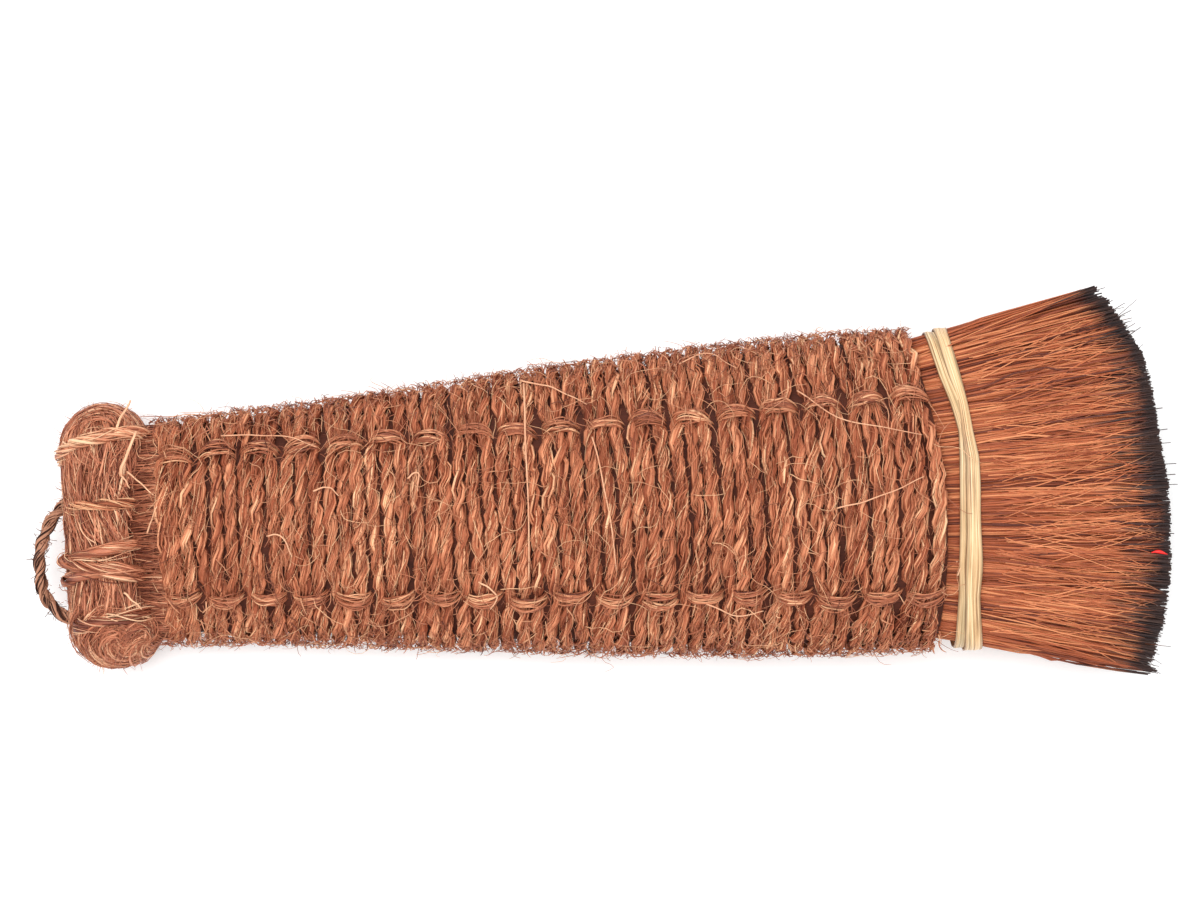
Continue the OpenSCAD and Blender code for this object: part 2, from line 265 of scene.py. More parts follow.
def tube_arrays(paths, radii, sides, shade):
    """Closed tubes along many paths: (strands, points, 3), radii (strands, points)."""
    strands, points, _ = paths.shape
    tangent = np.empty_like(paths)
    tangent[:, 1:-1] = paths[:, 2:] - paths[:, :-2]
    tangent[:, 0] = paths[:, 1] - paths[:, 0]
    tangent[:, -1] = paths[:, -1] - paths[:, -2]
    tangent = unit(tangent)
    normal = np.empty_like(paths)
    normal[:, 0] = unit(np.cross(tangent[:, 0], [0.31, 0.52, 0.79]))
    for i in range(points):
        n = normal[:, max(i - 1, 0)]
        n = n - (n * tangent[:, i]).sum(-1, keepdims=True) * tangent[:, i]
        normal[:, i] = unit(n)
    side = np.cross(tangent, normal)
    angle = 2 * np.pi * np.arange(sides) / sides
    ring = around(angle, normal[:, :, None], side[:, :, None])
    verts = paths[:, :, None] + radii[:, :, None, None] * ring
    index = np.arange(strands * points * sides).reshape(strands, points, sides)
    along = np.concatenate([np.zeros((strands, 1)),
                            np.linalg.norm(np.diff(paths, axis=1), axis=-1).cumsum(1)], 1)
    seed = np.arange(strands) * 7.31 % 97
    fib = np.stack(np.broadcast_arrays(
        along[:, :, None], (angle / (2 * np.pi))[None, None, :], seed[:, None, None]), -1)
    shades = np.broadcast_to(shade if shade.ndim == 2 else shade[:, None], (strands, points))
    return {"verts": verts.reshape(-1, 3), "quads": grid_quads(index),
            "caps": [index[:, 0, ::-1], index[:, -1]], "shade": np.repeat(shades.reshape(-1), sides),
            "fib": fib.reshape(-1, 3)}


def tube_piece(name, parts, material, body, nodes=(), low=None, ink=False):
    """One object of several sets of tubes."""
    faces, offset = [], 0
    for part in parts:
        faces += [part["quads"] + offset] + [cap + offset for cap in part["caps"]]
        offset += len(part["verts"])
    keys = ("shade", "fib", "ink") if ink else ("shade", "fib")
    attributes = {key: np.concatenate([part[key] for part in parts]) for key in keys}
    verts = np.concatenate([part["verts"] for part in parts])
    if low is not None:
        verts = above(verts, low)
    return new_mesh(name, verts, faces, attributes, material, body, nodes)


# --- Materials ---------------------------------------------------------------------------------
def linear(colour):
    c = np.array(colour, float) / 255
    return tuple(np.where(c <= 0.04045, c / 12.92, ((c + 0.055) / 1.055) ** 2.4)) + (1.0,)


class Nodes:
    """Short way to add and join shader nodes."""

    def __init__(self, name):
        self.material = bpy.data.materials.new(name)
        self.material.use_nodes = True
        self.tree = self.material.node_tree
        self.tree.nodes.clear()
        self.shader = self.add("ShaderNodeBsdfPrincipled")
        output = self.add("ShaderNodeOutputMaterial")
        self.join(self.shader.outputs[0], output.inputs["Surface"])

    def add(self, kind, **settings):
        node = self.tree.nodes.new(kind)
        for key, value in settings.items():
            setattr(node, key, value)
        return node

    def join(self, source, target):
        self.tree.links.new(source, target)

    def attribute(self, name, output="Fac"):
        return self.add("ShaderNodeAttribute", attribute_name=name).outputs[output]

    def math(self, operation, a, b=None, clamp=False):
        node = self.add("ShaderNodeMath", operation=operation, use_clamp=clamp)
        for socket, value in zip(node.inputs, (a, b)):
            if value is None:
                continue
            if isinstance(value, (int, float)):
                socket.default_value = value
            else:
                self.join(value, socket)
        return node.outputs[0]

    def swing(self, value, amount):
        """A value of 0 to 1 as one that swings round zero."""
        return self.math("MULTIPLY", self.math("SUBTRACT", value, 0.5), amount)

    def noise(self, vector, scale, stretch=(1, 1, 1), detail=3.0, rough=0.55):
        mapping = self.add("ShaderNodeMapping")
        mapping.inputs["Scale"].default_value = stretch
        self.join(vector, mapping.inputs["Vector"])
        node = self.add("ShaderNodeTexNoise")
        node.inputs["Scale"].default_value = scale
        node.inputs["Detail"].default_value = detail
        node.inputs["Roughness"].default_value = rough
        self.join(mapping.outputs[0], node.inputs["Vector"])
        return node.outputs["Fac"]

    def ramp(self, factor, stops):
        node = self.add("ShaderNodeValToRGB")
        elements = node.color_ramp.elements
        while len(elements) < len(stops):
            elements.new(0.5)
        for element, (place, colour) in zip(elements, stops):
            element.position = place
            element.color = linear(colour)
        self.join(factor, node.inputs[0])
        return node.outputs["Color"]

    def mix(self, factor, a, b):
        node = self.add("ShaderNodeMix", data_type="RGBA")
        for socket, value in ((node.inputs[0], factor), (node.inputs[6], a), (node.inputs[7], b)):
            if isinstance(value, (int, float, tuple)):
                socket.default_value = value
            else:
                self.join(value, socket)
        return node.outputs[2]

    def bump(self, height, strength, distance):
        node = self.add("ShaderNodeBump")
        node.inputs["Strength"].default_value = strength
        node.inputs["Distance"].default_value = distance
        self.join(height, node.inputs["Height"])
        self.join(node.outputs[0], self.shader.inputs["Normal"])


# How fine the streaks across a strand are
STREAK = 26.0


def fibre_material(name, stops, rough=0.68, specular=0.25, ink=False):
    """Palm fibre: a shade per strand, streaks along it, and blotches over the whole brush."""
    n = Nodes(name)
    fib = n.attribute("fib", "Vector")
    place = n.add("ShaderNodeTexCoord").outputs["Object"]
    streaks = n.noise(fib, 1.0, (0.3, STREAK / 3, 1.0), detail=5.0, rough=0.65)
    blotch = n.noise(place, 90.0, detail=2.0)
    # The shade attribute holds each strand's own tone, and in sunk or hidden places painted shade.
    level = n.math("ADD", n.attribute("shade"), n.swing(streaks, 0.95))
    level = n.math("ADD", level, n.swing(blotch, 0.45), clamp=True)
    colour = n.ramp(level, stops)
    if ink:
        wobble = n.swing(n.noise(place, 160.0, detail=3.0), 0.9)
        inked = n.math("ADD", n.attribute("ink"), wobble, clamp=True)
        colour = n.mix(n.ramp(inked, [(0.24, (0, 0, 0)), (0.8, (248, 248, 248))]), colour,
                       linear((44, 37, 39)))
    n.join(colour, n.shader.inputs["Base Color"])
    n.shader.inputs["Roughness"].default_value = rough
    n.shader.inputs["Specular IOR Level"].default_value = specular
    n.bump(n.noise(fib, 1.0, (0.6, STREAK, 1.0), detail=3.0), 0.5, 0.0002)
    return n.material


CORD_STOPS = [(0.0, (98, 42, 26)), (0.25, (158, 84, 55)), (0.5, (200, 122, 87)),
              (0.78, (230, 156, 115)), (1.0, (255, 206, 160))]
STITCH_STOPS = [(0.0, (90, 40, 25)), (0.3, (158, 88, 60)), (0.6, (202, 124, 88)), (1.0, (250, 194, 148))]
ROLL_STOPS = [(0.0, (112, 54, 36)), (0.3, (176, 102, 72)), (0.6, (214, 138, 102)), (1.0, (254, 206, 164))]
BRISTLE_STOPS = [(0.0, (98, 42, 26)), (0.3, (150, 74, 44)), (0.6, (188, 98, 58)), (1.0, (236, 152, 102))]
TWINE_STOPS = [(0.0, (48, 24, 18)), (0.35, (84, 48, 34)), (0.7, (124, 78, 58)), (1.0, (190, 136, 108))]
# Painted shade: dark colours for the skin under the binding and the mass behind the bristles, standing in for
# shade in the gaps
CORE_SHADE_STOPS = [(0.0, (48, 20, 12)), (0.5, (88, 42, 27)), (1.0, (140, 76, 50))]

cord_material = fibre_material("palm_cord", CORD_STOPS)
stitch_material = fibre_material("stitch_fibre", STITCH_STOPS, rough=0.5, specular=0.45)
roll_material = fibre_material("roll_fibre", ROLL_STOPS, rough=0.5, specular=0.45)
bristle_material = fibre_material("bristle", BRISTLE_STOPS, rough=0.42, specular=0.5, ink=True)
twine_material = fibre_material("dark_twine", TWINE_STOPS)
core_shade_material = fibre_material("palm_core_shade", CORE_SHADE_STOPS)
twine_pale_material = fibre_material("palm_twine", STITCH_STOPS)


# --- Hanging loop ------------------------------------------------------------------------------
def centripetal(points, count):
    """Smooth curve through points, resampled evenly along its length."""
    points = np.asarray(points, float)
    p = np.vstack([2 * points[0] - points[1], points, 2 * points[-1] - points[-2]])
    u = np.linspace(0, 1, 24, endpoint=False)[:, None]
    pieces = []
    for i in range(1, len(p) - 2):
        a, b, c, d = p[i - 1], p[i], p[i + 1], p[i + 2]
        pieces.append(0.5 * (2 * b + (c - a) * u + (2 * a - 5 * b + 4 * c - d) * u**2
                             + (3 * b - a - 3 * c + d) * u**3))
    pieces.append(points[-1:])
    dense = np.vstack(pieces)
    run = run_along(dense)
    even = np.linspace(0, run[-1], count)
    return np.stack([np.interp(even, run, dense[:, k]) for k in range(3)], -1), run[-1]


def cord_frame(centre, out):
    """Distance along a cord, its outward normal, and the direction across both."""
    tangent = unit(np.gradient(centre, axis=0))
    normal = unit(out - (out * tangent).sum(-1, keepdims=True) * tangent)
    return run_along(centre), normal, np.cross(tangent, normal)


def bundle(centre, out, rng, ring_r, strand_r, count, lay, squeeze=1.0, loose=0.2, wobble=0.5,
           shade_mid=0.5, shade_spread=0.2, hand=1):
    """Strands twisted round a centreline, each of which sinks and rises among the others:
    paths, radii and shades, (count, points)."""
    run, normal, side = cord_frame(centre, out)
    points, step = len(centre), run[-1] / (len(centre) - 1)
    phase = 2 * np.pi * (np.arange(count) + rng.uniform(-0.3, 0.3, count)) / count
    swing = smooth_noise(rng, (points,), 22 / step) * 0.8
    turn = (phase[None, :] + (hand * 2 * np.pi * run / lay + swing)[:, None]
            + wobble * smooth_noise(rng, (points, count), 9 / step))
    reach = ring_r * (1 + loose * smooth_noise(rng, (points, count), 6 / step)) * np.reshape(squeeze, (-1, 1))
    radii = strand_r * np.clip(1 + 0.32 * smooth_noise(rng, (points, count), 6 / step)
                               + 0.22 * rng.standard_normal(count)[None, :], 0.35, 1.8)
    paths = centre[:, None] + reach[..., None] * around(turn, normal[:, None], side[:, None])
    # Strands that sink among the others are made darker: painted shade.
    shade = (shade_mid + shade_spread * (0.6 * smooth_noise(rng, (points, count), 7 / step)
                                         + 0.35 * smooth_noise(rng, (points, 1), 25 / step)
                                         + 0.45 * rng.standard_normal(count)[None, :])
             + 0.35 * shade_spread * (reach / ring_r - 1) / loose)
    return paths.transpose(1, 0, 2), radii.T, np.clip(shade, 0, 1).T


# The loop's route, as in the CAD source: distance behind the roll's back, and across the brush
LOOP_ROUTE = [(-1.2, 7.2), (0.2, 6.7), (1.8, 5.4), (3.4, 3.5), (4.7, 1.1), (5.6, -1.7), (6.1, -4.6),
              (6.1, -7.6), (5.6, -10.5), (4.3, -13.2), (2.4, -15.2), (0.2, -16.4), (-1.2, -16.6)]
TWINE_D = loop_high[2] - loop_low[2]
LOOP_STEPS = 90


def make_loop():
    rng = np.random.default_rng(11)
    back = ROLL_T - ROLL_R
    route = np.array([(back - p, y, ROLL_Z) for p, y in LOOP_ROUTE])
    centre, long = centripetal(route, LOOP_STEPS)
    up = np.broadcast_to([0, 0, 1.0], centre.shape)
    parts = []
    for half in (0, np.pi):
        run, normal, side = cord_frame(centre, up)
        turn = half + 2 * np.pi * run / 8.5 + 0.2 * smooth_noise(rng, (LOOP_STEPS,), 12)
        ply = centre + 0.19 * TWINE_D * around(turn, normal, side)
        for ring, thick, count, tone in ((0.23, 0.12, 8, 0.42), (0.31, 0.035, 14, 0.6)):
            p, r, s = bundle(ply, up, rng, ring * TWINE_D, thick * TWINE_D, count, 11.0, loose=0.16,
                             shade_mid=tone, shade_spread=0.26)
            parts.append(tube_arrays(p, r, 4, s))
        # Dark heart of each ply: painted shade between its strands.
        p, r, s = bundle(ply, up, rng, 0.01, 0.24 * TWINE_D, 1, 11.0, shade_mid=0.2)
        parts.append(tube_arrays(p, r, 6, s))
    hairs = 170
    u = np.linspace(0, 1, 6)[None, :, None]
    root = centre[rng.integers(4, LOOP_STEPS - 4, hairs)]
    way = unit(rng.normal(0, 1, (hairs, 3)) * [1, 1, 0.6])
    curl = unit(rng.normal(0, 1, (hairs, 3)))[:, None]
    long_hair = 0.9 + rng.uniform(0.4, 1.7, (hairs, 1, 1)) * u
    hair = root[:, None] + way[:, None] * long_hair + 0.5 * curl * u**2
    radii = rng.uniform(0.04, 0.09, hairs)[:, None] * np.ones((1, 6))
    parts.append(tube_arrays(hair, radii, 3, random_shades(rng, 0.55, 0.25, hairs)))
    loop = tube_piece("hanging_loop_twine", parts, twine_material, "loop", ["hanging_loop"])


make_loop()


# --- Binding cord ------------------------------------------------------------------------------
# Lengths over which the plies and their strands turn once, and a ply's distance from the middle
LAY, STRAND_LAY = 9.0, 70.0
PLY_OFFSET = 0.68


def two_ply(centre, out, rng, squeeze):
    """Two twisted plies, each a bundle of strands round a dark heart, whose darkness is painted shade between
    the strands: paths, radii, shades, sides.
    """
    run, normal, side = cord_frame(centre, out)
    points, step = len(centre), run[-1] / (len(centre) - 1)
    turn = 2 * np.pi * run / LAY + 0.45 * smooth_noise(rng, (points,), 12 / step)
    parts = []
    for half in (0, np.pi):
        way = around(turn + half, normal, side)
        reach = PLY_OFFSET * squeeze * np.clip(1 + 0.22 * smooth_noise(rng, (points,), 9 / step), 0.4, 1.5)
        ply = centre + reach[:, None] * way
        strands = bundle(ply, out, rng, 0.56, 0.23, 11, STRAND_LAY, squeeze=squeeze, loose=0.12,
                         wobble=0.22, shade_mid=0.5, shade_spread=0.24, hand=-1)
        # Dark heart: painted shade between the strands.
        shade_heart = bundle(ply, out, rng, 0.01, 0.8 * 0.56, 1, STRAND_LAY, shade_mid=0.2, shade_spread=0.1)
        parts += [strands + (3,), shade_heart + (5,)]
    return parts


def wrap_path():
    """Centreline of the whole cord, its outward normal, and how hard it is squeezed by the
    stitches, with the turns drawn together under each stitch."""
    rng = np.random.default_rng(21)
    step = 1.8
    centres = [g * GROUP + (k + 0.5) * TURN for g in range(GROUPS) for k in range(PER_STITCH)]
    dense = np.linspace(0, TURNS - 1e-6, TURNS * 300)
    t = np.interp(dense, np.arange(TURNS) + 0.5, centres)
    point, _ = oval_at(dense, outer_a(t) - CORD_R, outer_b(t) - CORD_R, corner(t))
    run = run_along(np.stack([t, point[:, 0], mid_z(t) + point[:, 1]], -1))
    count = int(run[-1] / step)
    even = np.linspace(0, run[-1], count)
    phi = np.interp(even, run, dense)
    t = np.interp(even, run, t)
    point, normal = oval_at(phi, outer_a(t) - CORD_R, outer_b(t) - CORD_R, corner(t))
    y, z = point[:, 0], point[:, 1]
    group = np.minimum((np.floor(phi) // PER_STITCH).astype(int), GROUPS - 1)
    group_centre = (group + 0.5) * GROUP
    flat = np.abs(normal[:, 1]) > 0.4
    pinch, wide_pinch = np.zeros_like(t), np.zeros_like(t)
    for side in (1, -1):
        reach = np.abs(y - row_y(side, t))
        pinch += np.exp(-(reach / 2.4) ** 2) * flat
        wide_pinch += np.exp(-(reach / 3.1) ** 2) * flat
    draw = np.clip(0.2 + 0.06 * rng.standard_normal(GROUPS), 0.16, 0.36)[group]
    shift = -(t - group_centre) * wide_pinch * draw
    wander = 0.2 * smooth_noise(rng, (count,), 12 / step) + 0.12 * smooth_noise(rng, (count,), 4 / step)
    lift = 0.2 * smooth_noise(rng, (count,), 9 / step)
    pos = np.stack([t + shift + wander + bow(t, y), y, mid_z(t) + z], -1)
    out = np.stack([np.zeros_like(y), normal[:, 0], normal[:, 1]], -1)
    return pos + out * (lift - pinch)[:, None], out, pinch


def make_wrap():
    rng = np.random.default_rng(22)
    centre, out, pinch = wrap_path()
    squeeze = 1 - 0.2 * pinch
    plies = two_ply(centre, out, rng, squeeze)
    pieces = 5
    cuts = np.linspace(0, len(centre) - 1, pieces + 1).astype(int)
    for i in range(pieces):
        cut = slice(cuts[i], cuts[i + 1] + 1)
        parts = [tube_arrays(p[:, cut], r[:, cut], sides, s[:, cut]) for p, r, s, sides in plies]
        tube_piece(f"wrap_cord_length_{i + 1}", parts, cord_material, "handle",
                   ["wrap_cord"] if i == 0 else (), low=0.02)
    make_cord_fibres(centre, out, squeeze)


def make_cord_fibres(centre, out, squeeze):
    """Thin fibres that lie along the cord's outside and part from it at their ends."""
    rng = np.random.default_rng(23)
    run, normal, side = cord_frame(centre, out)
    count, points = 7400, 5
    u = np.linspace(-0.5, 0.5, points)[None, :]
    mid = rng.uniform(10, run[-1] - 10, count)[:, None]
    long = rng.uniform(3, 11, count)[:, None]
    s = np.clip(mid + long * u, 0, run[-1])

    def along(values):
        return np.stack([np.interp(s, run, values[:, k]) for k in range(3)], -1)

    spin = rng.normal(0.3, 0.2, count)[:, None]
    turn = rng.normal(0, 0.85, count)[:, None] + spin * long * u
    ends = (2 * np.abs(u)) ** 3
    lift = rng.gamma(1.6, 0.14, count)[:, None] * ends * rng.choice([0.4, 1.6], count)[:, None]
    reach = 1.24 * np.interp(s, run, squeeze) + rng.uniform(-0.12, 0.14, count)[:, None] + lift
    paths = above(along(centre) + reach[..., None] * around(turn, along(normal), along(side)), 0.1)
    radii = rng.uniform(0.05, 0.13, count)[:, None] * (1 - 0.55 * (2 * np.abs(u)) ** 2)
    part = tube_arrays(paths, radii, 3, random_shades(rng, 0.55, 0.3, count))
    tube_piece("cord_fibres", [part], cord_material, "handle")


make_wrap()


# --- Core under the binding --------------------------------------------------------------------
def fan_share(t):
    corner_t = TIP_T - TIP_RADIUS + np.sqrt(TIP_RADIUS**2 - FAN_WIDTH**2 / 4)
    return (t - WRAP_LENGTH) / (corner_t - WRAP_LENGTH)


def fan_a(t):
    return between(WIDTH_WIDE / 2 - 2.2, FAN_WIDTH / 2, fan_share(t))


def fan_b(t):
    return between(THICK_WIDE / 2 - 2.75, FAN_THICK / 2, fan_share(t))


def loft(name, stations, outline, material, body, nodes=(), count=64):
    """Closed skin through ovals: outline(t) gives half width, half thickness, corner and middle height."""
    rings = []
    for t in stations:
        a, b, r, z = outline(t)
        point, _ = oval_at(np.arange(count) / count, a, b, r)
        x = t + bow(np.minimum(t, WRAP_LENGTH), point[:, 0])
        rings.append(np.stack([x, point[:, 0], z + point[:, 1]], -1))
    verts = np.array(rings)
    index = np.arange(len(stations) * count).reshape(-1, count)
    rng = np.random.default_rng(5)
    fib = np.stack(np.broadcast_arrays(verts[..., 0], verts[..., 1] / 1.5, verts[..., 2] / 1.5), -1)
    attributes = {"shade": 0.35 + 0.1 * rng.standard_normal(index.size), "fib": fib.reshape(-1, 3)}
    return new_mesh(name, verts.reshape(-1, 3), [grid_quads(index)[:, ::-1], index[:1], index[-1:, ::-1]],
                    attributes, material, body, nodes)


def core_outline(t):
    return outer_a(t) - 2.3, outer_b(t) - 2.3, corner(t) - 0.9, mid_z(t)


# The core skin is coloured dark as painted shade in the gaps between the turns of cord.
loft("fibre_core_shade_skin", np.linspace(0.4, WRAP_LENGTH - 0.6, 26), core_outline, core_shade_material,
     "handle", ["fibre_core"])


# Where the cut tips end, at distances y across the brush
TIP_Y = (-37.5, -33.9, -28.6, -23.3, -18.0, -12.6, -7.3, -1.9, 3.5,
         8.9, 14.3, 19.7, 25.1, 29.0, 33.4, 35.7, 37.7)
TIPS_T = (196.9, 198.8, 200.4, 201.5, 202.2, 202.3, 202.4, 202.4, 201.7,
          201.1, 200.7, 200.2, 198.9, 196.7, 194.3, 192.8, 190.5)


def tip_line(y):
    """Where the tips end at y, allowing for the middle of the face being nearer to the camera."""
    nearer = 0.0272 * np.sqrt(np.sqrt(np.clip(1 - (y / 38.5) ** 2, 0, 1)))
    t = np.interp(y, TIP_Y, TIPS_T)
    return t - (t - VIEW_CENTRE[0]) * nearer


def fan_point(t, turn, radius):
    """Point of the fan's section at a share of a turn and a share of the way out."""
    point, _ = oval_at(turn, fan_a(t), fan_b(t), FAN_CORNER)
    return point * radius[..., None]


def bend_along(piece):
    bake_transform(piece)


def make_bristles():
    rng = np.random.default_rng(31)
    count, points = 8000, 8
    radius = np.where(rng.uniform(0, 1, count) < 0.45, rng.uniform(0.9, 1.0, count),
                      np.sqrt(rng.uniform(0, 1, count)))
    turn = rng.uniform(0, 1, count)
    mouth = fan_point(np.full(count, WRAP_LENGTH - 3.0), turn, radius)
    tip = fan_point(np.full(count, TIP_T - 6), turn, radius)
    for _ in range(2):
        tip = fan_point(tip_line(tip[:, 0]), turn, radius)
    y_tip = tip[:, 0] + rng.normal(0, 0.9, count)
    y_tip = y_tip + 1.6 * smooth_noise(rng, (count,), 0.5) * (rng.uniform(0, 1, count) < 0.25)
    grid = np.linspace(-40, 40, 161)
    clump = smooth_noise(rng, (161, 3), 5)
    y_tip = y_tip + 0.75 * np.interp(y_tip + 0.4 * mouth[:, 1], grid, clump[:, 0])
    y_tip = np.clip(y_tip, -38.6, 38.0)
    z_tip = tip[:, 1] + rng.normal(0, 0.4, count)
    short = np.abs(rng.normal(0, 0.45, count))
    short = short + rng.uniform(0, 9, count) ** 2 / 24 * (rng.uniform(0, 1, count) < 0.08)
    t_tip = tip_line(y_tip) - short
    stray = rng.uniform(0, 1, count) < 0.0025
    t_tip = np.where(stray, t_tip + rng.uniform(0.5, 3.2, count), t_tip)
    u = np.linspace(0, 1, points)[None, :]
    x = between((WRAP_LENGTH - 3.0 + bow(WRAP_LENGTH, mouth[:, 0]))[:, None], t_tip[:, None], u)
    y = between(mouth[:, :1], y_tip[:, None], u)
    z = between(mouth[:, 1:], z_tip[:, None], u)
    wave = smooth_noise(rng, (points, count, 2), 2.0).transpose(1, 0, 2)
    size = rng.gamma(1.6, 0.26, count)[:, None]
    loosened = np.sin(np.pi * u * 0.85) * np.clip(u / 0.4, 0, 1) ** 2
    y = y + wave[..., 0] * size * loosened
    z = z + wave[..., 1] * 0.3 * size * loosened
    y = np.clip(y, -fan_a(x) - 0.5, fan_a(x) + 0.5)
    z = np.maximum(mid_z(WRAP_LENGTH) + z, 0.25)
    paths = np.stack([x, y, z], -1)
    thick = rng.uniform(0.13, 0.25, count)[:, None] * (1 - 0.3 * u**3) * np.where(stray, 0.6, 1)[:, None]
    shade = 0.55 + 0.3 * rng.standard_normal(count) + 0.09 * np.interp(y_tip, grid, clump[:, 1])
    shade = np.clip(shade, 0.02, 1)
    depth = rng.uniform(4.5, 12.5, count) * (1 - 0.45 * np.clip((y_tip - 8) / 28, 0, 1))
    long = np.linalg.norm(paths[:, -1] - paths[:, 0], axis=-1)
    to_tip = (1 - u) * long[:, None] + (stray * 1.5 - short)[:, None]
    ink = np.clip(1.12 - to_tip / depth[:, None] * 0.8, 0, 1)
    order = np.argsort(z.mean(1))
    halves = (("bristles_lower", ["bristle_fan"]), ("bristles_upper", ()))
    for (name, nodes), chosen in zip(halves, np.array_split(order, 2)):
        part = tube_arrays(paths[chosen], thick[chosen], 3, shade[chosen])
        part["ink"] = np.repeat(ink[chosen].reshape(-1), 3)
        bend_along(tube_piece(name, [part], bristle_material, None, nodes, ink=True))


def make_crossing_bristles():
    """Lighter bristles that lie loose across the fan's faces."""
    rng = np.random.default_rng(33)
    count, points = 620, 11
    up = rng.choice([-1, 1], count)
    u = np.linspace(0, 1, points)[None, :]
    t0 = WRAP_LENGTH + 9.5 + 24 * rng.uniform(0, 1, count)[:, None] ** 1.6
    y0 = (rng.uniform(-0.95, 0.95, count) * (WIDTH_WIDE / 2 - 2))[:, None]
    slope = y0 / 190 + rng.normal(0, 0.14, count)[:, None]
    room = np.maximum(tip_line(y0) - t0 - 1, 4)
    long = np.minimum(rng.uniform(8, 42, count)[:, None], room)
    curl = rng.normal(0, 0.006, count)[:, None]
    run = long * u
    t = t0 + run
    y = y0 + slope * run + curl * run**2 + 0.12 * smooth_noise(rng, (points, count), 2.4).T
    limit = fan_a(t) - 0.5
    y = np.clip(y, -limit, limit)
    face, _ = oval_arcs(fan_a(t), fan_b(t), FAN_CORNER)
    side = np.clip(np.abs(y) - (fan_a(t) - FAN_CORNER), 0, FAN_CORNER)
    top = np.sqrt(face**2 - np.minimum(np.abs(y), fan_a(t) - FAN_CORNER) ** 2) - face + fan_b(t)
    top = top - (FAN_CORNER - np.sqrt(FAN_CORNER**2 - side**2))
    height = top + 0.05 + rng.uniform(0.0, 0.5, count)[:, None] * np.sin(np.pi * u)
    z = np.maximum(mid_z(WRAP_LENGTH) + up[:, None] * height, 0.15)
    paths = np.stack([t + bow(WRAP_LENGTH, y) * np.clip(1 - (t - WRAP_LENGTH) / 30, 0, 1), y, z], -1)
    radii = rng.uniform(0.09, 0.17, count)[:, None] * (1 - 0.5 * u)
    to_tip = tip_line(y) - t
    part = tube_arrays(paths, radii, 4, random_shades(rng, 0.78, 0.16, count))
    part["ink"] = np.repeat(np.clip(1.0 - to_tip / 9, 0, 1).reshape(-1), 4)
    bend_along(tube_piece("bristles_loose", [part], bristle_material, None, ink=True))


def make_bristle_bed():
    """Packed mass of bristles behind those that show, dark with painted shade."""
    def outline(t):
        return fan_a(t) - 1.8, fan_b(t) - 1.8, FAN_CORNER - 1.6, mid_z(WRAP_LENGTH)

    stations = np.linspace(WRAP_LENGTH - 2, TIP_T - 15, 14)
    bend_along(loft("bristle_shade_bed", stations, outline, core_shade_material, None))


def make_red_fleck():
    """Short red thread caught among the inked tips."""
    n = Nodes("red_thread")
    n.shader.inputs["Base Color"].default_value = linear((236, 34, 30))
    n.shader.inputs["Roughness"].default_value = 0.5
    u = np.linspace(0, 1, 8)
    t = between(195.2, 198.3, u)
    face, _ = oval_arcs(fan_a(t), fan_b(t), FAN_CORNER)
    top = mid_z(WRAP_LENGTH) + fan_b(t) - (14.8**2) / (2 * face) + 0.45
    path = np.stack([t, -14.7 + 0.3 * np.sin(4 * u) - 0.3 * u, top], -1)
    part = tube_arrays(path[None], 0.4 * np.sin(np.pi * np.clip(u, 0.12, 0.9))[None], 6, np.array([0.5]))
    bend_along(tube_piece("red_fleck", [part], n.material, None))


make_bristles()
make_crossing_bristles()
make_red_fleck()
make_bristle_bed()


# --- Stitches ----------------------------------------------------------------------------------
def make_stitches():
    """Each stitch is a splayed bundle that arches over three turns and dives at both ends."""
    for side, name in ((1, "left"), (-1, "right")):
        rng = np.random.default_rng(41 + side)
        paths, shades, radii = [], [], []
        for up in (1, -1):
            for g in range(GROUPS):
                strands, points = 17, 12
                u = np.linspace(0, 1, points)
                wide = rng.uniform(1.15, 1.55)
                slant = rng.normal(0, 0.6)
                y_mid = np.abs(row_y(side, (g + 0.5) * GROUP)) + rng.normal(0, 0.4)
                rise = rng.uniform(0.35, 0.65)
                arch = np.sin(np.pi * u)
                for _ in range(strands):
                    lane, layer = rng.uniform(-1, 1), rng.uniform(0, 1)
                    ends = rng.normal(0, 0.28, 2)
                    t = between(g * GROUP + 0.5 + ends[0], (g + 1) * GROUP - 0.5 + ends[1], u)
                    y = y_mid + slant * (u - 0.5) + lane * wide * (0.62 + 0.38 * arch)
                    y = y + 0.14 * smooth_noise(rng, (points,), 3) - 0.8 * (1 - arch) ** 2
                    dome = rise * (1 - 0.45 * lane**2) - 0.35 * layer
                    lift = dome + 0.45 - 3.0 * (1 - arch**0.45)
                    face, _ = oval_arcs(outer_a(t) - SEAT_R, outer_b(t) - SEAT_R, corner(t))
                    lean = y / (face + SEAT_R)
                    height = face_height(t, y) - 0.95 + lift * np.sqrt(1 - lean**2)
                    y = y + lift * lean
                    x = t + bow(t, side * y)
                    paths.append(np.stack([x, side * y, mid_z(t) + up * height], -1))
                    radii.append(rng.uniform(0.13, 0.26) * (0.75 + 0.25 * arch))
                    # Strands lower in the stitch are a little darker: painted shade.
                    shades.append(np.clip(rng.normal(0.55, 0.22) + 0.1 * (0.5 - layer), 0, 1))
        part = tube_arrays(np.array(paths), np.array(radii), 3, np.array(shades))
        tube_piece(f"stitches_{name}", [part], stitch_material, "handle",
                   [f"stitch_thread_{name}"], low=FLOOR_GAP)


make_stitches()


# --- End roll and its lashings -----------------------------------------------------------------
def capsule_point(y, angle):
    """Point on the roll at a distance y along it and an angle round it from the front, and the
    way out from the roll there."""
    centre = ROLL_HALF - ROLL_R
    past = np.clip(np.abs(y) - centre, 0, ROLL_R * 0.999)
    ring = np.sqrt(ROLL_R**2 - past**2)
    out = np.stack(np.broadcast_arrays(ring * np.cos(angle), np.sign(y) * past, ring * np.sin(angle)), -1)
    middle = np.stack(np.broadcast_arrays(ROLL_T, np.clip(y, -centre, centre), ROLL_Z + 0 * ring), -1)
    return middle + out, unit(out)


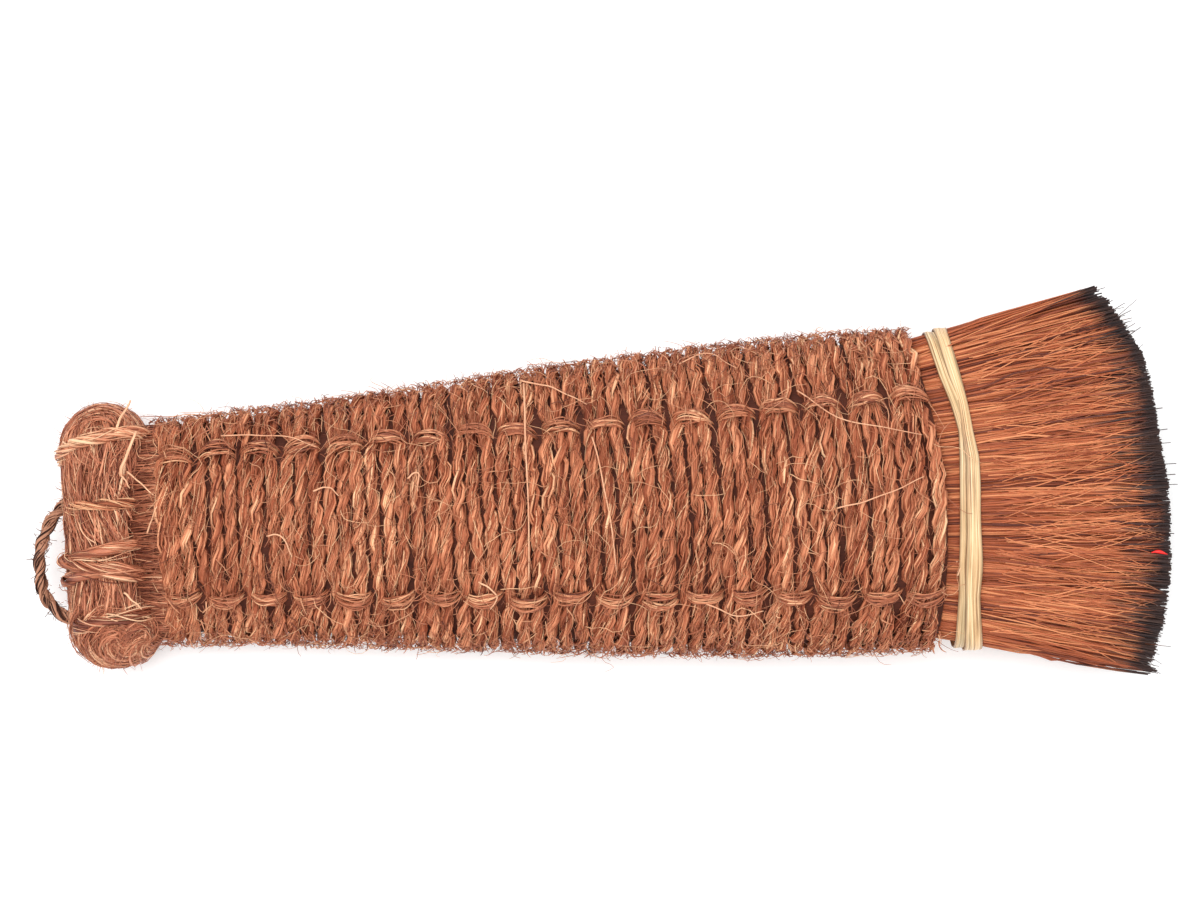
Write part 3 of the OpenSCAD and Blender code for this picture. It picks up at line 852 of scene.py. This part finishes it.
def roll_base():
    """Smooth closed body of the roll, just under its strands, dark with painted shade between them."""
    rows, columns = 48, 40
    y = ROLL_HALF * np.sin(np.linspace(-np.pi / 2, np.pi / 2, rows)) * 0.999
    angle = 2 * np.pi * np.arange(columns) / columns
    grid, out = capsule_point(y[:, None], angle[None, :])
    grid = grid - 0.9 * out
    index = np.arange(rows * columns).reshape(rows, columns)
    fib = np.stack([grid[..., 1], grid[..., 0] / 2, grid[..., 2] / 2], -1).reshape(-1, 3)
    return {"verts": grid.reshape(-1, 3), "quads": grid_quads(index)[:, ::-1],
            "caps": [index[:1], index[-1:, ::-1]], "shade": np.full(index.size, 0.2), "fib": fib}


def roll_strands(rng, count, long_range, radius_range, slant, layer):
    """Strands that run along the roll, a little aslant, and fan out from the lashings."""
    points = 7
    u = np.linspace(0, 1, points)[None, :]
    y0 = rng.uniform(-1.0, 0.95, count)[:, None] * (ROLL_HALF - 4)
    long = rng.uniform(*long_range, count)[:, None]
    y = np.clip(y0 + long * (u - 0.3), -ROLL_HALF + 2, ROLL_HALF - 2)
    start = rng.uniform(0, 2 * np.pi, count)[:, None]
    patch = 0.3 * np.sin(y0 / 4.2 + 2.0 * np.sin(start))
    turn = ((rng.normal(slant, 0.2, count)[:, None] + patch) * long / ROLL_R) * u
    turn = turn + 0.05 * smooth_noise(rng, (points, count), 3).T
    rise = layer + rng.uniform(-0.3, 0.35, count)[:, None]
    rise = rise + 0.4 * np.sin(np.pi * u) * rng.uniform(0, 1, count)[:, None] - 0.3
    point, out = capsule_point(y, start + turn)
    radii = rng.uniform(*radius_range, count)[:, None] * (0.45 + 0.55 * np.sin(np.pi * u))
    # Strand ends, where they dive under, are darker: painted shade.
    shade = rng.normal(0.5, 0.24, count)[:, None] - 0.3 * (1 - np.sin(np.pi * u))
    return tube_arrays(point + out * rise[..., None], radii, 3, np.clip(shade, 0, 1))


def end_arcs(rng, y_centre, axis, count, polar, sweep, radius_range, layer, spiral=0.2, shift=0.0):
    """Arcs that curl round an axis on a rounded end of the roll."""
    points = 8
    axis = unit(np.array(axis, float))
    first = unit(np.cross(axis, [0.2, 0.1, 1.0]))
    second = np.cross(axis, first)
    u = np.linspace(-0.5, 0.5, points)[None, :]
    tilt = rng.uniform(*polar, count)[:, None] + (spiral + rng.normal(0, 0.22, count)[:, None]) * u
    tilt = tilt + 0.05 * smooth_noise(rng, (points, count), 4).T
    turn = rng.uniform(0, 2 * np.pi, count)[:, None] + rng.uniform(*sweep, count)[:, None] * u
    way = around(tilt, axis, around(turn, first, second))
    reach = ROLL_R + layer + rng.uniform(-0.8, 0.4, count)[:, None]
    reach = reach + 0.2 * smooth_noise(rng, (points, count), 3).T
    paths = np.array([ROLL_T + shift, y_centre, ROLL_Z]) + way * reach[..., None]
    radii = rng.uniform(*radius_range, count)[:, None] * (0.5 + 0.5 * np.cos(np.pi * u))
    # Arc ends, where they dive under, are darker: painted shade.
    shade = rng.normal(0.52, 0.2, count)[:, None] - 0.2 * np.abs(2 * u)
    return tube_arrays(paths, radii, 3, np.clip(shade, 0, 1))


def roll_hairs(rng, count):
    """Short hairs that stand off the roll."""
    points = 5
    u = np.linspace(0, 1, points)[None, :]
    y = rng.uniform(-ROLL_HALF, ROLL_HALF, count) * 0.985
    root, out = capsule_point(y, rng.uniform(0, 2 * np.pi, count))
    way = unit(0.6 * out + rng.normal(0, 0.75, (count, 3)))
    bend = rng.normal(0, 0.6, (count, 3))
    long = rng.uniform(0.8, 2.8, count)[:, None]
    paths = root[:, None] + way[:, None] * (long * u)[..., None] + bend[:, None] * (u**2)[..., None]
    radii = rng.uniform(0.05, 0.1, count)[:, None] * (1 - 0.5 * u)
    return tube_arrays(paths, radii, 3, random_shades(rng, 0.4, 0.22, count))


def make_roll():
    rng = np.random.default_rng(51)
    end = ROLL_HALF - ROLL_R
    top, low, knot = (0.1, 0.25, 1.0), (0.24, -0.36, 0.9), (0.75, -0.45, 0.6)
    parts = [roll_base(),
             roll_strands(rng, 640, (7, 18), (0.22, 0.5), 0.14, 0.0),
             roll_strands(rng, 1400, (3, 13), (0.06, 0.15), 0.12, 0.42),
             end_arcs(rng, end, top, 420, (0.55, 1.75), (1.0, 2.4), (0.14, 0.34), 0.0),
             end_arcs(rng, end, top, 260, (0.5, 1.8), (0.6, 2.0), (0.06, 0.12), 0.4),
             end_arcs(rng, -end, low, 420, (0.08, 1.5), (1.2, 3.2), (0.18, 0.42), 0.15, 0.35),
             end_arcs(rng, -end, low, 300, (0.1, 1.7), (0.8, 3.0), (0.06, 0.13), 0.6, 0.35),
             end_arcs(rng, -end - 0.3, knot, 170, (0.3, 0.95), (1.5, 4.0), (0.2, 0.45), -0.3, 0.7, 1.2),
             end_arcs(rng, -end - 0.3, knot, 190, (0.2, 1.1), (1.0, 3.0), (0.06, 0.14), 0.1, 0.8, 1.2),
             roll_hairs(rng, 1200)]
    tube_piece("end_roll_fibres", parts, roll_material, "handle", ["end_roll"], low=FLOOR_GAP)


make_roll()


def lashing(name, y_path, angles, count, width, seed, node, material=roll_material,
            lay=27.0, lift=0.0):
    """Loose twisted bundle of strands that runs round the roll: y_path gives y along the ring."""
    rng = np.random.default_rng(seed)
    centre, out = capsule_point(y_path, angles)
    centre = centre + out * (0.3 * width + lift)
    centre = centre + out * 0.12 * smooth_noise(rng, (len(angles), 1), 5)
    strands = bundle(centre, out, rng, 0.78 * width, 0.24 * width, count + 5, lay, loose=0.28, wobble=0.6,
                     shade_mid=0.5, shade_spread=0.3)
    fine = bundle(centre, out, rng, 1.02 * width, 0.1 * width, count + 6, lay * 1.2, loose=0.34, wobble=1.1,
                  shade_mid=0.6, shade_spread=0.3)
    # The dark heart is painted shade among the strands.
    shade_heart = bundle(centre, out, rng, 0.01, 0.62 * width, 1, lay, shade_mid=0.25)
    parts = [tube_arrays(p, r, sides, s) for (p, r, s), sides in ((strands, 3), (fine, 3), (shade_heart, 6))]
    tube_piece(name, parts, material, "handle", [node] if node else (), low=FLOOR_GAP)


RING = np.linspace(-np.pi, np.pi, 66)
OPEN_RING = np.linspace(-0.78 * np.pi, 0.78 * np.pi, 54)
lashing("upper_lashing", 17.6 + 2.6 * np.cos(RING - 0.9), RING, 9, 1.15, 61, "roll_lashing_upper")
lashing("thin_lashing", 6.5 + 0.3 * np.cos(2 * OPEN_RING), OPEN_RING, 7, 0.85, 62, "roll_lashing_thin",
        twine_pale_material, lay=14.0)
lashing("double_lashing_a", -2.9 + 1.7 * np.cos(RING), RING, 9, 1.2, 63, "roll_lashing_double")
lashing("double_lashing_b", -8.0 + 0.9 * np.cos(2 * RING + 3.0), RING, 9, 1.25, 64, "roll_lashing_double")
lashing("double_lashing_c", -6.2 - 1.6 * np.cos(RING), RING, 8, 1.0, 66, None, lift=0.7)
lashing("lower_lashing", -16.8 + 1.4 * np.cos(OPEN_RING), OPEN_RING, 9, 1.2, 65, "roll_lashing_lower")


# --- Neck fibres between the roll and the binding ----------------------------------------------
def make_neck():
    rng = np.random.default_rng(71)
    points = 7
    u = np.linspace(0, 1, points)[None, :]
    parts = []
    for count, sizes, deep in ((1050, (0.14, 0.26), (0.3, 1.6)), (900, (0.06, 0.13), (0.0, 0.9))):
        turn = rng.uniform(0, 1, count)
        depth = rng.uniform(*deep, count)
        a, b = outer_a(np.zeros(count)) - 0.9 - depth, outer_b(np.zeros(count)) - 1.1 - depth
        point, _ = oval_at(turn, a, b, 5.0 - 0.5 * depth)
        inner, _ = oval_at(turn, a * 0.97, b * 0.6, 4.0 - 0.5 * depth)
        front = 3.2 + rng.uniform(-1, 0.5, count)[:, None]
        back = ROLL_T + 3.5 + rng.uniform(0, 3, count)[:, None]
        x = between(front, back, u)
        splay = rng.normal(0, 0.8, count)[:, None]
        y = between(point[:, :1], inner[:, :1] + splay, u) + 0.22 * smooth_noise(rng, (points, count), 3).T
        z = between(point[:, 1:], inner[:, 1:], u**1.3) + 0.1 * smooth_noise(rng, (points, count), 3).T
        radii = rng.uniform(*sizes, count)[:, None] * (1 - 0.25 * u)
        # Strands darker towards the roll: painted shade at the junction.
        shade = rng.normal(0.56, 0.22, count)[:, None] - 0.6 * u**1.3
        parts.append(tube_arrays(np.stack([x, y, ROLL_Z + z], -1), radii, 3, np.clip(shade, 0, 1)))
    tube_piece("neck_fibres", parts, roll_material, "handle", low=FLOOR_GAP)


make_neck()

# Loose stalks at the roll and the neck: each a few points (t, y, height above the middle)
STALKS = [
    ([(-6.3, 11.8, 8.6), (-5.7, 14.1, 9.6), (-3.6, 17.4, 10.6), (-2.5, 20.5, 10.4)], 0.42),
    ([(-7.1, 19.6, 8.2), (-5.5, 23.7, 7.6), (-3.6, 26.8, 7.4)], 0.34),
    ([(-5.0, 12.6, 8.8), (-2.4, 10.5, 9.6), (0.3, 7.6, 10.9)], 0.2),
    ([(-6.6, 12.4, 8.4), (-5.6, 11.4, 9.0), (-4.7, 9.2, 8.2)], 0.22),
    ([(-1.7, 0.1, 8.8), (-0.6, 2.3, 10.4), (1.1, 5.3, 12.2)], 0.2),
    ([(-6.9, -11.3, 9.6), (-4.9, -13.1, 9.9), (-3.5, -14.7, 9.4)], 0.24),
    ([(-16.0, 5.1, 6.2), (-14.5, 0.8, 8.2), (-11.8, -1.2, 9.1)], 0.2)]

# Stalks that lie on the binding: points (t, y) and a thickness
LYING = [
    ([(75.0, 25.5), (73.8, 8.0), (72.8, -13.2)], 0.2),
    ([(74.4, 26.2), (80.5, 24.2), (86.8, 20.5)], 0.18),
    ([(87.2, 13.9), (88.9, 0.5), (90.0, -12.7)], 0.17),
    ([(106.0, 27.5), (112.0, 29.4), (117.0, 26.0)], 0.12),
    ([(107.0, -20.0), (113.0, -22.6), (118.0, -22.0)], 0.17),
    ([(32.0, 6.5), (35.0, 7.4), (37.0, 5.4)], 0.18),
    ([(50.5, 8.2), (52.8, 9.0), (52.4, 5.6)], 0.2),
    ([(22.0, -1.6), (25.0, -2.0), (26.6, -6.0)], 0.18),
    ([(14.0, 18.6), (26.0, 17.9), (33.0, 15.2)], 0.15),
    ([(63.0, -13.0), (66.5, -16.0), (65.0, -18.6)], 0.2),
    ([(132.0, -2.6), (141.0, -0.4), (149.0, 2.6)], 0.16),
    ([(128.0, 21.0), (135.0, 15.0), (150.0, 11.0)], 0.15)]


def make_stalks():
    rng = np.random.default_rng(73)
    parts = []
    for way, thick in LYING:
        centre, _ = centripetal([(t, y, 0.0) for t, y in way], 20)
        centre = centre + 0.1 * smooth_noise(rng, (20, 3), 4)
        t, y = centre[:, 0], centre[:, 1]
        rise = 0.4 * np.sin(np.linspace(0, np.pi, 20)) * thick / 0.2
        centre[:, 2] = mid_z(t) + face_height(t, y) + 0.35 + rise
        centre[:, 0] = t + bow(t, y)
        parts.append(tube_arrays(centre[None], thick * np.linspace(1, 0.6, 20)[None], 5, np.array([0.8])))
    for way, thick in STALKS:
        centre, _ = centripetal(np.array(way, float) + [0, 0, ROLL_Z], 16)
        centre = centre + 0.1 * smooth_noise(rng, (16, 3), 3)
        radii = thick * np.linspace(1.0, 0.6, 16)[None, :]
        parts.append(tube_arrays(centre[None], radii, 5, np.array([0.85])))
    tube_piece("loose_stalks", parts, roll_material, "handle")


make_stalks()


# --- Straw band --------------------------------------------------------------------------------
def straw_material(name, grey):
    """Split straw, with fine lines along it and grey-green stains."""
    n = Nodes(name)
    fib = n.attribute("fib", "Vector")
    place = n.add("ShaderNodeTexCoord").outputs["Object"]
    streaks = n.noise(fib, 1.0, (0.035, 3.4, 1.0), detail=6.0, rough=0.7)
    level = n.math("ADD", n.swing(streaks, 1.5), 0.43)
    level = n.math("ADD", level, n.math("MULTIPLY", n.noise(place, 75.0, detail=3.0), 0.25), clamp=True)
    colour = n.ramp(level, [(0.30, (120, 84, 56)), (0.43, (180, 138, 94)), (0.53, (216, 178, 130)),
                            (0.63, (238, 204, 156)), (0.8, (252, 232, 194))])
    stain = n.noise(fib, 1.0, (0.05, 1.1, 1.0), detail=3.0)
    stain = n.ramp(n.math("ADD", stain, grey), [(0.5, (0, 0, 0)), (0.62, (255, 255, 255))])
    colour = n.mix(n.math("MULTIPLY", stain, 0.6), colour, linear((146, 128, 92)))
    # The shade attribute darkens the strips' edges: painted shade.
    colour = n.mix(n.attribute("shade"), linear((120, 84, 58)), colour)
    n.join(colour, n.shader.inputs["Base Color"])
    n.shader.inputs["Roughness"].default_value = 0.42
    n.shader.inputs["Specular IOR Level"].default_value = 0.45
    n.bump(n.noise(fib, 1.0, (0.03, 5.0, 1.0), detail=4.0), 0.4, 0.0002)
    return n.material


# Middle and width of the two strips, beyond the binding's end, at distances y across the brush
BAND_Y = (-31.5, -26.0, -21.0, -15.5, -5.0, 5.8, 11.0, 16.5, 22.0, 31.0)
INNER_T = (4.9, 5.1, 5.3, 5.3, 5.8, 6.7, 6.7, 5.6, 4.1, 2.3)
INNER_WIDE = (2.9, 2.6, 2.2, 2.0, 1.7, 2.3, 2.4, 2.6, 2.7, 2.5)
OUTER_T = (7.5, 7.3, 7.1, 7.2, 7.4, 7.8, 7.2, 6.9, 6.1, 4.9)
OUTER_WIDE = (3.5, 3.3, 3.2, 3.4, 3.2, 2.6, 2.2, 1.8, 2.2, 2.3)


def make_strip(name, middle, widths, lift, seed, node, material):
    """Strip of split straw round the bristles, from a thin closed section along a ring."""
    rng = np.random.default_rng(seed)
    steps, across = 200, 9
    turn = np.arange(steps) / steps
    t = np.full(steps, WRAP_LENGTH + 8.0)
    a, b = fan_a(t) + lift, fan_b(t) + lift
    point, normal = oval_at(turn, a, b, FAN_CORNER)
    y = point[:, 0]
    spread = 0.2 * smooth_noise(rng, (steps,), 16)
    centre = WRAP_LENGTH + np.interp(y, BAND_Y, middle) + spread * 0.6
    width = np.interp(y, BAND_Y, widths) * (1 + 0.06 * smooth_noise(rng, (steps,), 10))
    w = np.linspace(-0.5, 0.5, across)
    curl = 0.1 * smooth_noise(rng, (steps, 1), 16) + 0.05 * smooth_noise(rng, (steps, across), 8)
    shrink = (fan_a(centre) - fan_a(t))[:, None]
    rings = []
    for layer in (0.0, 0.3):
        x = centre[:, None] + width[:, None] * w[None, :]
        out = layer + curl + 0.12 * (1 - (2 * w[None, :]) ** 2) + shrink * np.abs(normal[:, :1])
        rings.append(np.stack([x, point[:, :1] + normal[:, :1] * out,
                               mid_z(WRAP_LENGTH) + point[:, 1:] + normal[:, 1:] * out], -1))
    loop = np.concatenate([rings[0], rings[1][:, ::-1]], 1)
    count = 2 * across
    index = np.arange(steps * count).reshape(steps, count)
    after, on = np.roll(index, -1, axis=1), np.roll(index, -1, axis=0)
    quads = np.stack([index, on, np.roll(after, -1, axis=0), after], -1).reshape(-1, 4)
    perimeter = np.linalg.norm(np.diff(point, axis=0, append=point[:1]), axis=1).cumsum()
    lanes = np.concatenate([w, w[::-1]])
    fib = np.stack(np.broadcast_arrays(perimeter[:, None], lanes[None, :] * 3.4, np.float64(seed)), -1)
    # Strips darker at their edges: painted shade along the split between them.
    edge_shade = 1 - 0.85 * np.abs(lanes * 2) ** 6
    attributes = {"shade": np.tile(edge_shade, steps), "fib": fib.reshape(-1, 3)}
    verts = above(loop.reshape(-1, 3), FLOOR_GAP)
    new_mesh(name, verts, [quads], attributes, material, "handle", [node])


make_strip("straw_strip_inner", INNER_T, INNER_WIDE, 0.5, 81, "straw_band_inner",
           straw_material("straw_inner", 0.04))
make_strip("straw_strip_outer", OUTER_T, OUTER_WIDE, 0.75, 82, "straw_band_outer",
           straw_material("straw_outer", -0.04))


def make_straw_tie():
    """Thin pale fibre knotted round the straw strips."""
    rng = np.random.default_rng(83)
    y0, points = -14.6, 16
    u = np.linspace(0, 1, points)
    t = between(WRAP_LENGTH + 3.6, WRAP_LENGTH + 9.4, u)
    y = y0 + 0.5 * np.sin(5 * u) + 0.5 * u
    height = fan_b(t) - 1.1 + 1.15 * np.sin(np.pi * np.clip(u * 1.06, 0, 1)) ** 0.4
    face, _ = oval_arcs(fan_a(t), fan_b(t), FAN_CORNER)
    z = mid_z(WRAP_LENGTH) + height - face + np.sqrt(face**2 - y**2)
    tie = np.stack([t, y, z], -1)
    tail = np.stack([t[4] - 1.2 * u, between(y[4], y0 - 2.6, u), z[4] + 0.25 * np.sin(3 * u)], -1)
    paths = np.array([tie, tie + [0.35, -0.35, -0.05], tail])
    paths = paths + 0.08 * smooth_noise(rng, (points, 3, 3), 3).transpose(1, 0, 2)
    part = tube_arrays(paths, np.full((3, points), 0.14), 5, np.array([0.97, 0.9, 0.95]))
    tube_piece("straw_tie", [part], roll_material, "handle")


make_straw_tie()


# --- Loose hairs -------------------------------------------------------------------------------
def make_hairs(name, seed, count, points, long_range, out_range, spread, curl, radius_range, shade_mid,
               sides_only=False):
    """Hairs that lie on or stand away from the binding, and curl as they go."""
    rng = np.random.default_rng(seed)
    t0 = rng.uniform(-1.0, WRAP_LENGTH - 0.5, count)
    a, b, r = outer_a(t0), outer_b(t0), corner(t0) + 1.4
    turn = rng.uniform(0, 1, count)
    if sides_only:
        turn = rng.normal(0, 0.055, count) + 0.5 * (turn < 0.5)
    point, normal = oval_at(turn, a, b, r)
    root = np.stack([t0 + bow(t0, point[:, 0]), point[:, 0], mid_z(t0) + point[:, 1]], -1)
    out = np.stack([np.zeros(count), normal[:, 0], normal[:, 1]], -1)
    sideways = np.cross(out, [1.0, 0, 0])
    heading = rng.normal(0, spread, count) + np.pi * (rng.uniform(0, 1, count) < 0.5)
    long = rng.uniform(*long_range, count)
    step = (long / (points - 1))[:, None]
    bend = (rng.normal(0, curl, count) * long)[:, None] * np.linspace(0, 1, points)[None, :]
    angle = heading[:, None] + bend + 0.25 * curl * long[:, None] * smooth_noise(rng, (points, count), 2.0).T
    d_round, d_along = np.cos(angle) * step, np.sin(angle) * step
    d_round[:, 0] = d_along[:, 0] = 0
    p_round, p_along = d_round.cumsum(1), d_along.cumsum(1)
    u = np.linspace(0, 1, points)[None, :]
    height = rng.uniform(*out_range, count)[:, None]
    rise = height * np.sin(np.pi * u * rng.uniform(0.4, 1.0, count)[:, None]) - 0.2 * (1 - u)
    face = np.abs(normal[:, 1])[:, None]
    drop = 0.5 * p_round**2 / between(8.0, 42.0, face)
    paths = (root[:, None] + out[:, None] * (rise - drop)[..., None] + sideways[:, None] * p_round[..., None]
             + np.array([1.0, 0, 0]) * p_along[..., None])
    radii = rng.uniform(*radius_range, count)[:, None] * (1 - 0.55 * u)
    part = tube_arrays(above(paths, 0.12), radii, 3, random_shades(rng, shade_mid, 0.2, count))
    tube_piece(name, [part], stitch_material, "handle")


make_hairs("surface_hairs", 91, 3000, 7, (2.0, 8.0), (0.1, 0.8), 0.5, 0.13, (0.05, 0.11), 0.5)
make_hairs("curly_hairs", 92, 340, 9, (5.0, 14.0), (0.3, 1.2), 0.9, 0.2, (0.06, 0.11), 0.85)
make_hairs("standing_hairs", 93, 2300, 6, (0.8, 3.0), (0.3, 1.5), 1.2, 0.2, (0.05, 0.11), 0.42)
make_hairs("side_hairs", 94, 3400, 6, (1.2, 4.4), (0.0, 0.8), 0.45, 0.1, (0.09, 0.2), 0.5, True)

# --- Floor and light ---------------------------------------------------------------------------
floor_mesh = bpy.data.meshes.new("floor")
floor_mesh.from_pydata([(-2, -2, 0), (2, -2, 0), (2, 2, 0), (-2, 2, 0)], [], [(0, 1, 2, 3)])
floor = bpy.data.objects.new("floor", floor_mesh)
bpy.context.collection.objects.link(floor)
floor_nodes = Nodes("floor")
floor_nodes.shader.inputs["Base Color"].default_value = (0.93, 0.93, 0.93, 1)
floor_nodes.shader.inputs["Roughness"].default_value = 0.9
floor_nodes.shader.inputs["Emission Color"].default_value = (1, 1, 1, 1)
floor_nodes.shader.inputs["Emission Strength"].default_value = 0.13
floor.data.materials.append(floor_nodes.material)

world = bpy.data.worlds.new("studio")
bpy.context.scene.world = world
world.use_nodes = True
world.node_tree.nodes["Background"].inputs["Color"].default_value = (1, 1, 1, 1)
world.node_tree.nodes["Background"].inputs["Strength"].default_value = 0.85


def area_light(name, place, target, size, power):
    light = bpy.data.objects.new(name, bpy.data.lights.new(name, "AREA"))
    bpy.context.collection.objects.link(light)
    light.data.shape = "SQUARE"
    light.data.size = size
    light.data.energy = power
    way = Vector(target) - Vector(place)
    light.matrix_world = Matrix.Translation(place) @ way.to_track_quat("-Z", "Y").to_matrix().to_4x4()


area_light("key", (-0.15, 0.18, 0.93), (0, 0, 0), 0.5, 6.0)
area_light("fill", (0.3, -0.3, 0.9), (0, 0, 0), 0.8, 2.0)
bpy.context.scene.view_settings.view_transform = "Standard"
